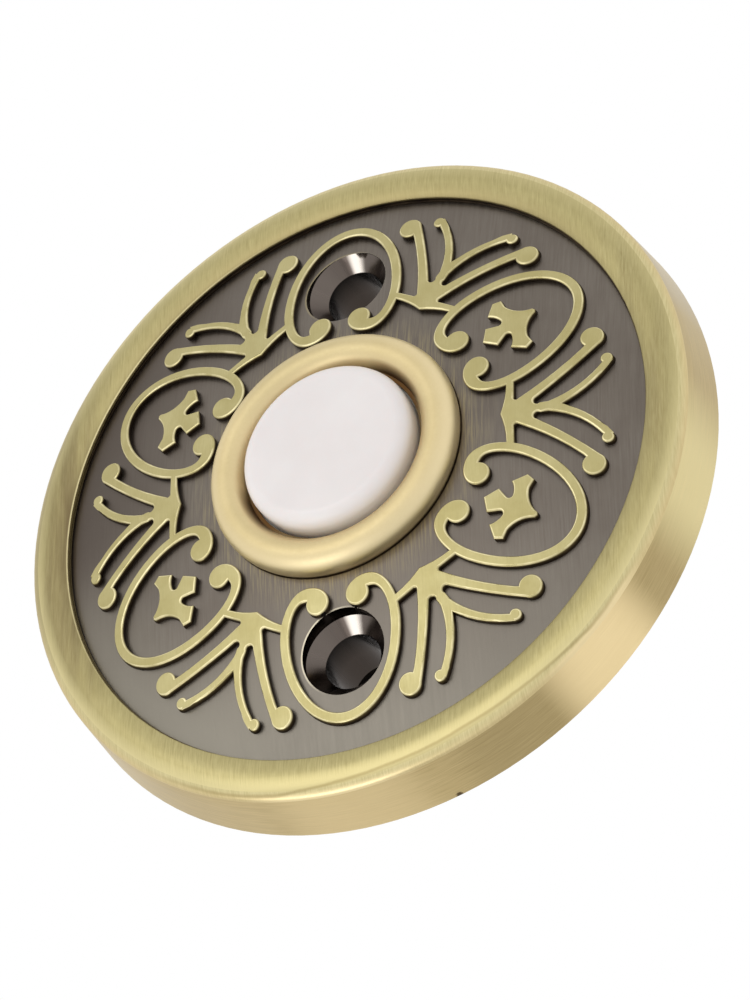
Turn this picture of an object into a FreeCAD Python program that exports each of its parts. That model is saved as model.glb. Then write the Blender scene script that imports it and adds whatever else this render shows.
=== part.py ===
import FreeCAD, Part
import math
import os

# Round antique-brass doorbell push, in millimetres. It hangs on a wall: +Z is up, the face looks
# along -Y and the wall is the plane y = 0. The pieces are drawn with their height above the wall
# along +Z and are turned into that frame when they are written.

Vector = FreeCAD.Vector
ORIGIN = Vector(0, 0, 0)
OUT_OF_WALL = Vector(0, 0, 1)

# Escutcheon: a cast dished plate with a plain rim and a domed face.
plate_diameter = 63.5
face_diameter = 55.42
rim_depth = 6.0
side_draft = 0.39
rim_corner = 0.45
rim_crown = 0.18
rim_fall = 0.05
rim_step_height = 0.42
rim_step_width = 0.13
dome_rise = 3.45
relief_height = 0.6
face_wall = 2.0
rim_wall = 3.15

# Fixing screw holes, countersunk, one above and one below the button.
fixing_pitch = 37.4
fixing_hole_diameter = 5.2
countersink_diameter = 7.7
countersink_depth = 1.25
fixing_boss_diameter = 9.2

# Bezel: a turned bead round the button, with a threaded spigot behind it.
throat_diameter = 16.2
throat_lip = 0.5
lip_reach = 0.32
bead_set_back = 0.32
bead_thickness = 3.3
bead_seat_height = 8.2
bead_lift = 0.83
spigot_wall = 0.88
spigot_clearance = 0.1
seat_margin = 0.2
nut_land_height = 5.95
nut_land_margin = 1.1

# Ring nut and lock washer that hold the bezel from behind.
nut_rim = 2.1
nut_thickness = 1.2
nut_slot_width = 1.6
nut_slot_depth = 0.8
nut_slots = 4
lock_washer_thickness = 0.4
lock_washer_teeth = 12

# Push cap and plunger.
cap_clearance = 0.16
cap_proud = 0.87
cap_top_wall = 1.2
cap_side_wall = 1.04
cap_edge_radius = 1.25
cap_crown = 0.12
travel = 1.2
end_clearance = 0.1
flange_thickness = 0.7
guide_clearance = 0.12
plunger_fit = 0.04
plunger_wall = 1.1
stem_diameter = 3.8
stem_clearance = 0.15
tip_diameter = 2.0
tip_clearance = 0.02

# Contact bridge on the plunger's tip, and the push-on clip behind it.
bridge_diameter = 8.8
bridge_thickness = 0.5
bridge_rim = 0.9
clip_diameter = 3.6
clip_thickness = 0.4
clip_slots = 3
clip_slot_width = 0.5
tip_overhang = 0.25
closing_gap = 0.05

# Switch housing: a moulded cup that stands on the base.
housing_front = 0.6
housing_wall = 1.2
hub_collar_width = 0.85
hub_collar_height = 0.4
pip_diameter = 1.0
pip_depth = 0.8

# Return spring.
spring_diameter = 8.4
spring_wire = 0.45
spring_turns = 2.5
spring_end_gap = 0.03

# Insulating base, fixed to two bosses by screws from behind.
base_thickness = 1.6
base_half_width = 9.4
base_corner = 4.5
base_screw_set_out = 4.8
base_screw_diameter = 2.5
base_screw_head_diameter = 4.4
base_screw_head_height = 1.1
base_screw_length = 4.0
base_screw_margin = 3.2
base_boss_diameter = 5.0
screw_hole_clearance = 0.15
thread_clearance = 0.02
drill_tip_depth = 0.3
slot_width = 0.6
slot_depth = 0.45

# Contact strips, rivets and terminals.
strip_thickness = 0.4
strip_width = 3.4
strip_inner_end = 2.2
strip_end_diameter = 4.6
rivet_offset = 3.3
rivet_head_diameter = 1.7
rivet_head_height = 0.35
rivet_shank_diameter = 1.0
rivet_tail_height = 0.25
terminal_set_out = 2.8
terminal_screw_diameter = 2.0
terminal_head_diameter = 3.8
terminal_head_height = 0.85
clamp_washer_diameter = 5.2
clamp_washer_thickness = 0.4
hex_nut_width = 4.0
hex_nut_thickness = 1.2
terminal_overhang = 0.2
strip_notch_clearance = 0.1

# Ornament: each sixth of the face holds a scrolled loop, with a sprig between two loops. A point
# is given as (across, outwards) from the button's axis, for a face of the drawn radius.
ornament_drawn_radius = 27.71
ornament_sixths = 6
loop_top = 25.31
loop_half_width = 5.68
loop_waist = 17.2
loop_stroke = 0.93
loop_foot = 12.49
loop_foot_across = 2.88
curl_across = 1.88
curl_out = 14.15
curl_radius = 1.08
notch_across = 3.2
notch_out = 13.72
big_bud = (6.47, 23.25)
big_bud_radius = 1.04
small_bud = (4.03, 24.5)
small_bud_radius = 0.54
relief_root = 0.8

# Derived sizes: radii, and heights above the wall.
plate_radius = plate_diameter / 2
face_radius = face_diameter / 2
lip_radius = plate_radius - side_draft
back_hollow_radius = plate_radius - rim_wall
ornament_scale = face_radius / ornament_drawn_radius
relief_radius = (face_radius ** 2 + dome_rise ** 2) / (2 * dome_rise)
dome_centre = rim_depth + dome_rise - relief_radius
above_all = rim_depth + 2 * dome_rise
field_radius = relief_radius - relief_height
under_radius = field_radius - face_wall
countersink_radius = countersink_diameter / 2
fixing_hole_radius = fixing_hole_diameter / 2

throat_radius = throat_diameter / 2
bead_radius = bead_thickness / 2
bead_circle_radius = throat_radius + bead_set_back + bead_radius
bead_height = bead_seat_height + bead_lift
bead_foot = math.sqrt(bead_radius ** 2 - bead_lift ** 2)
seat_radius = bead_circle_radius + bead_foot + seat_margin
spigot_bore = throat_radius + lip_reach
spigot_radius = spigot_bore + spigot_wall
plate_bore = spigot_radius + spigot_clearance
lip_underside = bead_height - throat_lip
nut_radius = spigot_radius + nut_rim
nut_land_radius = nut_radius + nut_land_margin
nut_front = nut_land_height - lock_washer_thickness
nut_back = nut_front - nut_thickness
terminal_offset = nut_radius + terminal_set_out
base_screw_offset = terminal_offset + base_screw_set_out

cap_radius = throat_radius - cap_clearance
cap_height = bead_height + bead_radius + cap_proud
cap_bore = cap_radius - cap_side_wall
cap_ceiling = cap_height - cap_top_wall
flange_radius = spigot_bore - guide_clearance
flange_front = lip_underside - end_clearance
flange_back = flange_front - flange_thickness
housing_radius = spigot_bore - guide_clearance
housing_height = flange_back - travel - end_clearance
housing_underside = housing_height - housing_front
hub_radius = stem_diameter / 2 + stem_clearance
plunger_radius = cap_bore - plunger_fit
plunger_bore = plunger_radius - plunger_wall
plunger_ceiling = cap_ceiling - plunger_wall
bridge_front = housing_underside - end_clearance
bridge_back = bridge_front - bridge_thickness
clip_back = bridge_back - clip_thickness
tip_end = clip_back - tip_overhang
contact_height = bridge_back - travel - closing_gap
strip_top = contact_height - rivet_head_height
strip_bottom = strip_top - strip_thickness
base_front = strip_bottom
base_height = base_front - base_thickness
base_half_length = base_screw_offset + base_screw_margin
base_screw_radius = base_screw_diameter / 2
terminal_radius = terminal_screw_diameter / 2
terminal_hole_radius = terminal_radius + screw_hole_clearance
clamp_back = base_height - clamp_washer_thickness
terminal_end = strip_top + hex_nut_thickness + terminal_overhang


def dome_at(radius, at_radius):
    """Height above the wall of a dome of this radius, at a distance from the button's axis."""
    return dome_centre + math.sqrt(radius ** 2 - at_radius ** 2)


def cylinder(radius, low, high, across=0.0, up=0.0):
    """Round bar that stands out of the wall from one height to another."""
    return Part.makeCylinder(radius, high - low, Vector(across, up, low), OUT_OF_WALL)


def tube(outer, inner, low, high, across=0.0, up=0.0):
    """Round bar with a bore right through it."""
    bore = cylinder(inner, low, high, across, up)
    return cylinder(outer, low, high, across, up).cut(bore)


def block(across, up, low, high):
    """Bar with two opposite corners in the wall plane, from one height to another."""
    corner = Vector(across[0], up[0], low)
    return Part.makeBox(across[1] - across[0], up[1] - up[0], high - low, corner)


def section_line(start, end):
    """Straight edge of a turned section, between two (radius, height) points."""
    return Part.LineSegment(Vector(start[0], 0, start[1]), Vector(end[0], 0, end[1])).toShape()


def section_arc(start, middle, end):
    """Round edge of a turned section, through three (radius, height) points."""
    points = [Vector(radius, 0, height) for radius, height in (start, middle, end)]
    return Part.Arc(*points).toShape()


def turned(edges):
    """Solid of revolution round the button's axis from the edges of its section."""
    face = Part.Face(Part.Wire(Part.__sortEdges__(edges)))
    return face.revolve(ORIGIN, OUT_OF_WALL, 360)


def turned_outline(points):
    """Solid of revolution from a closed section of straight edges."""
    closed = points + points[:1]
    return turned([section_line(a, b) for a, b in zip(closed, closed[1:])])


def ball(radius, height):
    """Sphere centred at this height; its poles point sideways, so a dome cut from it is even."""
    return Part.makeSphere(radius, Vector(0, 0, height), Vector(-1, 0, 0))


def crowned(shape, rim, top):
    """Shape cut down to a shallow dome through its (radius, height) rim and its top."""
    rise = top - rim[1]
    radius = (rim[0] ** 2 + rise ** 2) / (2 * rise)
    return shape.common(ball(radius, top - radius))


def slotted_head(radius, low, high, across):
    """Flat screw head with its driver slot across the back."""
    head = cylinder(radius, low, high, across)
    slot = block((across - radius, across + radius), (-slot_width / 2, slot_width / 2),
                 low, low + slot_depth)
    return head.cut(slot)


def plate_body():
    """Rim, domed face and hollow back, with a flat seat and land round the bezel's hole."""
    corner = (lip_radius, rim_depth - rim_fall - rim_corner)
    shoulder = (lip_radius - rim_corner, rim_depth - rim_fall)
    crown = ((face_radius + shoulder[0]) / 2, rim_depth + rim_crown)
    field_edge = face_radius - rim_step_width
    step_height = rim_depth - rim_step_height
    rim = turned([
        section_line((field_edge, 0), (plate_radius, 0)),
        section_line((plate_radius, 0), corner),
        section_line(corner, shoulder),
        section_arc(shoulder, crown, (face_radius, rim_depth)),
        section_line((face_radius, rim_depth), (face_radius, step_height)),
        section_line((face_radius, step_height), (field_edge, step_height)),
        section_line((field_edge, step_height), (field_edge, 0)),
    ])
    face = cylinder(field_edge, 0, above_all).common(ball(field_radius, dome_centre))
    hollow = cylinder(back_hollow_radius, -1, above_all).common(ball(under_radius, dome_centre))
    hollow = hollow.cut(cylinder(nut_land_radius, nut_land_height, above_all))
    seat = cylinder(seat_radius, bead_seat_height, above_all)
    bore = cylinder(plate_bore, 0, above_all)
    return rim.fuse(face).cut([hollow, seat, bore])


def at(across, outwards):
    """Point of the ornament on the real face."""
    return Vector(across * ornament_scale, outwards * ornament_scale, 0)


def outline_line(start, end):
    return Part.LineSegment(at(*start), at(*end)).toShape()


def outline_arc(start, middle, end):
    return Part.Arc(at(*start), at(*middle), at(*end)).toShape()


def outline_quarter(centre, across, outwards):
    """Quarter of an ellipse between its reach across and its reach outwards."""
    tips = [(abs(across), at(centre[0] + across, centre[1])),
            (abs(outwards), at(centre[0], centre[1] + outwards))]
    short, long = [tip for reach, tip in sorted(tips, key=lambda pair: pair[0])]
    ellipse = Part.Ellipse(long, short, at(*centre))
    return Part.ArcOfEllipse(ellipse, 0, math.pi / 2).toShape()


def raised(edges):
    """Tall prism over a closed outline."""
    face = Part.Face(Part.Wire(Part.__sortEdges__(edges)))
    return face.extrude(Vector(0, 0, above_all))


def bud(centre, radius):
    """Tall round bar under a ball end of the ornament."""
    place = at(*centre)
    return cylinder(radius * ornament_scale, 0, above_all, place.x, place.y)


def mirrored(halves):
    """A right half with its left twin, joined as one."""
    whole = halves[0].multiFuse(halves[1:])
    twin = whole.mirror(ORIGIN, Vector(1, 0, 0))
    return whole.fuse(twin)


def loop():
    """Egg-shaped loop, open towards the button, whose two ends curl in to a ball."""
    waist = (0, loop_waist)
    inner_half_width = loop_half_width - loop_stroke
    inner_top = loop_top - loop_stroke
    foot = (loop_foot_across, loop_waist)
    curl_left = loop_foot_across - (curl_across - curl_radius)
    edges = [
        outline_quarter(waist, loop_half_width, loop_top - loop_waist),
        outline_quarter(foot, loop_half_width - loop_foot_across, loop_foot - loop_waist),
        outline_quarter((loop_foot_across, curl_out), -curl_left, loop_foot - curl_out),
        outline_line((curl_across - curl_radius, curl_out), (curl_across, notch_out)),
        outline_line((curl_across, notch_out), (notch_across, notch_out)),
        outline_quarter((notch_across, loop_waist), inner_half_width - notch_across,
                        notch_out - loop_waist),
        outline_quarter(waist, inner_half_width, inner_top - loop_waist),
        outline_line((0, inner_top), (0, loop_top)),
    ]
    return mirrored([raised(edges), bud((curl_across, curl_out), curl_radius)])


def sprig():
    """Stem with two large and two small branches, on a bar that joins two loops."""
    edges = [
        outline_arc((0, 15.29), (1.6, 15.69), (3.1, 15.8)),
        outline_line((3.1, 15.8), (3.45, 16.49)),
        outline_line((3.45, 16.49), (1.5, 16.49)),
        outline_arc((1.5, 16.49), (1.24, 16.6), (1.28, 16.84)),
        outline_arc((1.28, 16.84), (3.2, 19.77), (5.4, 22.34)),
        outline_line((5.4, 22.34), big_bud),
        outline_line(big_bud, (5.72, 23.94)),
        outline_arc((5.72, 23.94), (3.05, 21.0), (1.07, 18.44)),
        outline_arc((1.07, 18.44), (0.72, 18.22), (0.48, 18.75)),
        outline_line((0.48, 18.75), (0.5, 19.5)),
        outline_arc((0.5, 19.5), (1.4, 21.62), (3.63, 24.05)),
        outline_line((3.63, 24.05), small_bud),
        outline_line(small_bud, (3.74, 25.0)),
        outline_arc((3.74, 25.0), (1.6, 23.14), (0, 20.68)),
        outline_line((0, 20.68), (0, 15.29)),
    ]
    buds = [bud(big_bud, big_bud_radius), bud(small_bud, small_bud_radius)]
    return mirrored([raised(edges)] + buds)


def cross():
    """Small cross with four pointed arms, inside a loop that holds no screw hole."""
    edges = [
        outline_line((0, 21.05), (0.26, 20.92)),
        outline_arc((0.26, 20.92), (0.97, 19.79), (2.11, 19.18)),
        outline_line((2.11, 19.18), (2.95, 19.22)),
        outline_line((2.95, 19.22), (3.22, 18.45)),
        outline_line((3.22, 18.45), (2.16, 17.42)),
        outline_arc((2.16, 17.42), (1.62, 17.9), (1.02, 18.13)),
        outline_arc((1.02, 18.13), (0.7, 17.99), (0.7, 17.65)),
        outline_line((0.7, 17.65), (1.18, 16.68)),
        outline_line((1.18, 16.68), (0, 15.78)),
        outline_line((0, 15.78), (0, 21.05)),
    ]
    return mirrored([raised(edges)])


def turned_to(shape, degrees):
    """Copy of an ornament drawn upwards, turned round the button's axis."""
    copy = shape.copy()
    copy.rotate(ORIGIN, OUT_OF_WALL, degrees)
    return copy


def ornament():
    """Raised pattern that follows the dome at an even height over the field."""
    sixth = 360 / ornament_sixths
    loop_shape = loop()
    sprig_shape = sprig()
    cross_shape = cross()
    pieces = []
    for number in range(ornament_sixths):
        pieces.append(turned_to(loop_shape, number * sixth))
        pieces.append(turned_to(sprig_shape, (number + 0.5) * sixth))
    network = pieces[0].multiFuse(pieces[1:]).removeSplitter()
    crosses = [turned_to(cross_shape, number * sixth) for number in (1, 2, 4, 5)]
    layer = ball(relief_radius, dome_centre).cut(ball(field_radius - relief_root, dome_centre))
    return [shape.common(layer) for shape in [network] + crosses]


def fixing_holes():
    """Countersunk hole above and below the button, cut down to a level cone."""
    outer_edge = fixing_pitch / 2 + countersink_radius
    cone_top = dome_at(field_radius, outer_edge)
    cone_bottom = cone_top - countersink_depth
    cutters = []
    for up in (fixing_pitch / 2, -fixing_pitch / 2):
        place = Vector(0, up, cone_bottom)
        cutters.append(cylinder(fixing_hole_radius, -1, cone_bottom, 0, up))
        cutters.append(Part.makeCone(fixing_hole_radius, countersink_radius,
                                     countersink_depth, place, OUT_OF_WALL))
        cutters.append(cylinder(countersink_radius, cone_top, above_all, 0, up))
    return cutters


def plate_bosses():
    """Bosses behind the face: two for the fixing screws and two for the base's screws."""
    bosses = []
    for up in (fixing_pitch / 2, -fixing_pitch / 2):
        top = dome_at(field_radius, fixing_pitch / 2 + fixing_boss_diameter / 2)
        bosses.append(cylinder(fixing_boss_diameter / 2, 0, top, 0, up))
    for across in (-base_screw_offset, base_screw_offset):
        top = dome_at(field_radius, base_screw_offset + base_boss_diameter / 2)
        bosses.append(cylinder(base_boss_diameter / 2, base_front, top, across))
    return bosses


def escutcheon_plate():
    """The whole casting: turned body, bosses, ornament and holes."""
    body = plate_body().multiFuse(plate_bosses())
    body = body.multiFuse(ornament())
    pilot_radius = base_screw_radius + thread_clearance
    pilot_end = base_height + base_screw_length + drill_tip_depth
    pilots = [cylinder(pilot_radius, base_front, pilot_end, across)
              for across in (-base_screw_offset, base_screw_offset)]
    return body.cut(fixing_holes() + pilots).removeSplitter()


def bezel_ring():
    """Bead with a lip that keeps the plunger in, and a spigot through the plate."""
    inner_foot = (bead_circle_radius - bead_foot, bead_seat_height)
    outer_foot = (bead_circle_radius + bead_foot, bead_seat_height)
    top = (bead_circle_radius, bead_height + bead_radius)
    bead = turned([section_line(inner_foot, outer_foot),
                   section_arc(outer_foot, top, inner_foot)])
    spigot = turned_outline([(spigot_bore, nut_back), (spigot_radius, nut_back),
                             (spigot_radius, bead_height), (spigot_bore, bead_height)])
    lip = turned_outline([(throat_radius, lip_underside), (bead_circle_radius, lip_underside),
                          (bead_circle_radius, bead_height), (throat_radius, bead_height)])
    return bead.multiFuse([spigot, lip]).removeSplitter()


def lock_washer():
    """Thin washer whose outer edge is notched into teeth."""
    washer = tube(nut_radius, plate_bore, nut_front, nut_land_height)
    step = 360 / lock_washer_teeth
    notch_width = math.pi * nut_radius / lock_washer_teeth
    notch = block((nut_radius - nut_slot_depth, nut_radius + nut_slot_depth),
                  (-notch_width / 2, notch_width / 2), nut_front, nut_land_height)
    notches = [turned_to(notch, number * step) for number in range(lock_washer_teeth)]
    return washer.cut(notches)


def ring_nut():
    """Thin nut on the spigot, with slots for a pin spanner."""
    nut = tube(nut_radius, spigot_radius + thread_clearance, nut_back, nut_front)
    slot = block((nut_radius - nut_slot_depth, nut_radius + nut_slot_depth),
                 (-nut_slot_width / 2, nut_slot_width / 2), nut_back, nut_front)
    slots = [turned_to(slot, (number + 0.5) * 360 / nut_slots) for number in range(nut_slots)]
    return nut.cut(slots)


def push_cap():
    """Moulded cup with a slightly crowned push face and a well rounded edge."""
    edge_height = cap_height - cap_crown
    face_edge = (cap_radius - cap_edge_radius, edge_height)
    side_top = (cap_radius, edge_height - cap_edge_radius)
    round_off = cap_edge_radius * (1 - math.sqrt(0.5))
    edge_middle = (cap_radius - round_off, edge_height - round_off)
    cup = turned([
        section_line((0, cap_ceiling), (0, cap_height)),
        section_line((0, cap_height), (face_edge[0], cap_height)),
        section_line((face_edge[0], cap_height), face_edge),
        section_arc(face_edge, edge_middle, side_top),
        section_line(side_top, (cap_radius, flange_front)),
        section_line((cap_radius, flange_front), (cap_bore, flange_front)),
        section_line((cap_bore, flange_front), (cap_bore, cap_ceiling)),
        section_line((cap_bore, cap_ceiling), (0, cap_ceiling)),
    ])
    return crowned(cup, face_edge, cap_height)


def plunger():
    """Moulded hat that fills the cap, with a flange below and a stepped stem inside."""
    return turned_outline([
        (0, cap_ceiling), (plunger_radius, cap_ceiling), (plunger_radius, flange_front),
        (flange_radius, flange_front), (flange_radius, flange_back),
        (plunger_bore, flange_back), (plunger_bore, plunger_ceiling),
        (stem_diameter / 2, plunger_ceiling), (stem_diameter / 2, bridge_front),
        (tip_diameter / 2, bridge_front), (tip_diameter / 2, tip_end), (0, tip_end),
    ])


def contact_bridge():
    """Pressed brass disc that joins the two contacts, dished inside its rim."""
    bore = tip_diameter / 2 + tip_clearance
    disc = tube(bridge_diameter / 2, bore, bridge_back, bridge_front)
    dish = tube(bridge_diameter / 2 - bridge_rim / 2, clip_diameter / 2 + bridge_rim / 2,
                bridge_back + bridge_thickness / 2, bridge_front)
    return disc.cut(dish)


def bridge_clip():
    """Push-on clip with slots round its bore."""
    bore = tip_diameter / 2 + tip_clearance
    clip = tube(clip_diameter / 2, bore, clip_back, bridge_back)
    reach = (bore + clip_diameter / 2) / 2
    slot = block((0, reach), (-clip_slot_width / 2, clip_slot_width / 2), clip_back, bridge_back)
    return clip.cut([turned_to(slot, number * 360 / clip_slots) for number in range(clip_slots)])


def return_spring():
    """Open coil spring of six-sided wire between the housing's front and the plunger."""
    wire_radius = spring_wire / 2
    coil_radius = (spring_diameter - spring_wire) / 2
    low = housing_height + spring_end_gap + wire_radius
    high = plunger_ceiling - spring_end_gap - wire_radius
    helix = Part.makeHelix((high - low) / spring_turns, high - low, coil_radius)
    helix.translate(Vector(0, 0, low))
    turns = [math.radians(60 * number) for number in range(7)]
    start = Part.makePolygon([Vector(coil_radius + wire_radius * math.cos(turn), 0,
                                     low + wire_radius * math.sin(turn)) for turn in turns])
    return Part.Wire(helix.Edges).makePipeShell([start], True, True)


def pips():
    """Moulded pips below the housing, above and below the button's axis."""
    place = housing_radius - housing_wall / 2
    return [(0, place), (0, -place)]


def switch_housing():
    """Cup with a hub that guides the stem, notched for the contact strips."""
    inner = housing_radius - housing_wall
    cup = turned_outline([
        (hub_radius, housing_underside), (inner, housing_underside), (inner, base_front),
        (housing_radius, base_front), (housing_radius, housing_height),
        (hub_radius + hub_collar_width, housing_height),
        (hub_radius + hub_collar_width, housing_height + hub_collar_height),
        (hub_radius, housing_height + hub_collar_height),
    ])
    half_notch = strip_width / 2 + strip_notch_clearance
    notch = block((-housing_radius, housing_radius), (-half_notch, half_notch),
                  base_front, strip_top + strip_notch_clearance)
    feet = [cylinder(pip_diameter / 2, base_front - pip_depth, base_front, across, up)
            for across, up in pips()]
    return cup.cut(notch).multiFuse(feet)


def base_plate():
    """Insulating base with rounded ends and holes for all that passes through it."""
    base = block((-base_half_length, base_half_length), (-base_half_width, base_half_width),
                 base_height, base_front)
    upright = [edge for edge in base.Edges
               if abs(edge.tangentAt(edge.FirstParameter).z) > 0.99]
    base = base.makeFillet(base_corner, upright)
    holes = []
    for side in (-1, 1):
        for offset, radius in ((base_screw_offset, base_screw_radius + screw_hole_clearance),
                               (terminal_offset, terminal_hole_radius),
                               (rivet_offset, rivet_shank_diameter / 2 + tip_clearance)):
            holes.append(cylinder(radius, base_height, base_front, side * offset))
    for across, up in pips():
        holes.append(cylinder(pip_diameter / 2 + tip_clearance, base_front - pip_depth,
                              base_front, across, up))
    return base.cut(holes)


def contact_strip(side):
    """Brass strip from a contact by the middle to its terminal, with a rounded outer end."""
    ends = sorted((side * strip_inner_end, side * terminal_offset))
    strip = block(ends, (-strip_width / 2, strip_width / 2), strip_bottom, strip_top)
    tab = cylinder(strip_end_diameter / 2, strip_bottom, strip_top, side * terminal_offset)
    holes = [
        cylinder(terminal_hole_radius, strip_bottom, strip_top, side * terminal_offset),
        cylinder(rivet_shank_diameter / 2 + tip_clearance, strip_bottom, strip_top,
                 side * rivet_offset),
    ]
    return strip.fuse(tab).removeSplitter().cut(holes)


def contact_rivet(side):
    """Rivet whose domed head is the contact and whose tail is closed behind the base."""
    shank = rivet_shank_diameter / 2
    head = rivet_head_diameter / 2
    tail = base_height - rivet_tail_height
    head_edge = (head, strip_top + rivet_head_height / 2)
    rivet = turned_outline([(0, tail), (head, tail), (head, base_height), (shank, base_height),
                            (shank, strip_top), (head, strip_top), (head, contact_height),
                            (0, contact_height)])
    rivet = crowned(rivet, head_edge, contact_height)
    rivet.translate(Vector(side * rivet_offset, 0, 0))
    return rivet


def terminal_screw(side):
    """Slotted screw whose head clamps the bell wire behind the base."""
    place = side * terminal_offset
    head_back = clamp_back - terminal_head_height
    shank = cylinder(terminal_radius, clamp_back, terminal_end, place)
    return slotted_head(terminal_head_diameter / 2, head_back, clamp_back, place).fuse(shank)


def clamp_washer(side):
    """Plain washer under the terminal screw's head."""
    return tube(clamp_washer_diameter / 2, terminal_hole_radius, clamp_back, base_height,
                side * terminal_offset)


def terminal_nut(side):
    """Hexagonal nut that holds the strip down on the base."""
    corner = hex_nut_width / math.sqrt(3)
    turns = [math.radians(60 * number + 30) for number in range(7)]
    points = [Vector(side * terminal_offset + corner * math.cos(turn),
                     corner * math.sin(turn), strip_top) for turn in turns]
    nut = Part.Face(Part.makePolygon(points)).extrude(Vector(0, 0, hex_nut_thickness))
    return nut.cut(cylinder(terminal_radius + thread_clearance, strip_top,
                            strip_top + hex_nut_thickness, side * terminal_offset))


def base_screw(side):
    """Slotted screw that holds the base to a boss of the plate."""
    place = side * base_screw_offset
    head_back = base_height - base_screw_head_height
    shank = cylinder(base_screw_radius, base_height, base_height + base_screw_length, place)
    return slotted_head(base_screw_head_diameter / 2, head_back, base_height, place).fuse(shank)


def write(name, shape):
    """Turn a finished piece, which is one solid, into the wall's frame and write it."""
    solid, = shape.Solids
    piece = solid.copy()
    piece.rotate(ORIGIN, Vector(1, 0, 0), 90)
    piece.exportStep(f"parts/{name}.step")


os.makedirs("parts", exist_ok=True)
SINGLE_PIECES = {
    "escutcheon_plate": escutcheon_plate,
    "bezel_ring": bezel_ring,
    "lock_washer": lock_washer,
    "ring_nut": ring_nut,
    "push_cap": push_cap,
    "plunger": plunger,
    "contact_bridge": contact_bridge,
    "bridge_clip": bridge_clip,
    "return_spring": return_spring,
    "switch_housing": switch_housing,
    "base_plate": base_plate,
}
PAIRED_PIECES = {
    "contact_strip": contact_strip,
    "contact_rivet": contact_rivet,
    "terminal_screw": terminal_screw,
    "clamp_washer": clamp_washer,
    "terminal_nut": terminal_nut,
    "base_screw": base_screw,
}
for name, make in SINGLE_PIECES.items():
    write(name, make())
for name, make in PAIRED_PIECES.items():
    write(f"{name}_left", make(-1))
    write(f"{name}_right", make(1))
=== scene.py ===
import math

import bmesh
import bpy
from mathutils import Matrix, Vector


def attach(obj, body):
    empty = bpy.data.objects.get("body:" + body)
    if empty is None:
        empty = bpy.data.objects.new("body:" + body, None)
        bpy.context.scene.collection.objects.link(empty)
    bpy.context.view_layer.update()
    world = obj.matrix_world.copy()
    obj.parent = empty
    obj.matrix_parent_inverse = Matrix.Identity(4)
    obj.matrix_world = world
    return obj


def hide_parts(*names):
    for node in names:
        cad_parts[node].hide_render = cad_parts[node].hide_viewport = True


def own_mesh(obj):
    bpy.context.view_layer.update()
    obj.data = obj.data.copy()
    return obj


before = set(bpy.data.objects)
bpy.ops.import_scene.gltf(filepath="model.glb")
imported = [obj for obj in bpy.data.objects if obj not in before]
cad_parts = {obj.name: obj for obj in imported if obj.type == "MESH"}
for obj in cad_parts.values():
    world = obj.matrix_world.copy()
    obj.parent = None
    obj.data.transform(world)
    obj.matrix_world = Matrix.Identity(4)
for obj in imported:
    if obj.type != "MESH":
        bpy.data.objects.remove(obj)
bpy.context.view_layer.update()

# Round antique-brass doorbell push on a wall, in metres: +Z is up and the face looks along -Y.
MM = 0.001
OUT_OF_WALL = Vector((0, -1, 0))

# Sizes of the plate that its finishes follow, from the wall and from the button's axis.
PLATE_RADIUS = 31.75 * MM
FACE_RADIUS = 27.71 * MM
RIM_DEPTH = 6.0 * MM
DOME_RISE = 3.45 * MM
RELIEF_HEIGHT = 0.6 * MM
LIP_RADIUS = 31.36 * MM
CORNER_WIDTH = 0.45 * MM
CORNER_HEIGHT = 5.5 * MM
SHOULDER_RADIUS = LIP_RADIUS - CORNER_WIDTH
SHOULDER_HEIGHT = 5.95 * MM
HOLLOW_RADIUS = 28.6 * MM
HOLE_OFFSET = 18.7 * MM
COUNTERSINK_RADIUS = 3.85 * MM
RELIEF_RADIUS = (FACE_RADIUS**2 + DOME_RISE**2) / (2 * DOME_RISE)
FIELD_RADIUS = RELIEF_RADIUS - RELIEF_HEIGHT
DOME_CENTRE = Vector((0, RELIEF_RADIUS - RIM_DEPTH - DOME_RISE, 0))

# Margins for telling the plate's faces apart.
WELD_DISTANCE = 0.0005 * MM
SURFACE_MARGIN = 0.02 * MM
BACK_DEPTH = 0.2 * MM
STEEP = 0.5
FLAT_ANGLE = math.radians(10)
SHARP_ANGLE = math.radians(32)

# Rounding of the casting's edges, and the roll of the rim's outer half.
RELIEF_EDGE_WIDTH = 0.16 * MM
RELIEF_EDGE_DROP = 0.15 * MM
FIRST_INSET = RELIEF_EDGE_WIDTH / 10
MITRE_LIMIT = 0.5
UNFOLD_ROUNDS = 8
UNFOLD_STEP = 0.35
LIP_BEVEL = 0.11 * MM
ROLL_START = 29.0 * MM
ROLL_DROP = 0.15 * MM
CORNER_ROUND = 0.22 * MM
INNER_EDGE_ROUND = 0.1 * MM

# Return spring.
WIRE_SHARP_ANGLE = math.radians(70)

# How fine the brush strokes are along each axis.
RIM_STROKES = (8000, 500, 500)
SIDE_STROKES = (260, 9000, 260)
RELIEF_STROKES = (7000, 600, 600)
FIELD_STROKES = (6500, 260, 260)
BEZEL_GRAIN = (3800, 3800, 3800)
TOOL_MARKS = (700, 5200, 700)

# Fine relief of each kind of surface.
BRUSHED = {"depth": 0.004 * MM, "strength": 0.5}
TURNED = {"depth": 0.003 * MM, "strength": 0.4}
MOULDED = {"depth": 0.01 * MM, "strength": 0.4}
POLISHED = {"depth": 0.002 * MM, "strength": 0.3}
CAST = {"depth": 0.03 * MM, "strength": 0.6}

# Painted shade of a fine groove along the lower rim, which is not modelled: its radius in mm, amount
# and shade.
GROOVE_RADIUS = 31.1
GROOVE_AMOUNT = 0.45
GROOVE_SHADE = (146, 126, 78)
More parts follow.
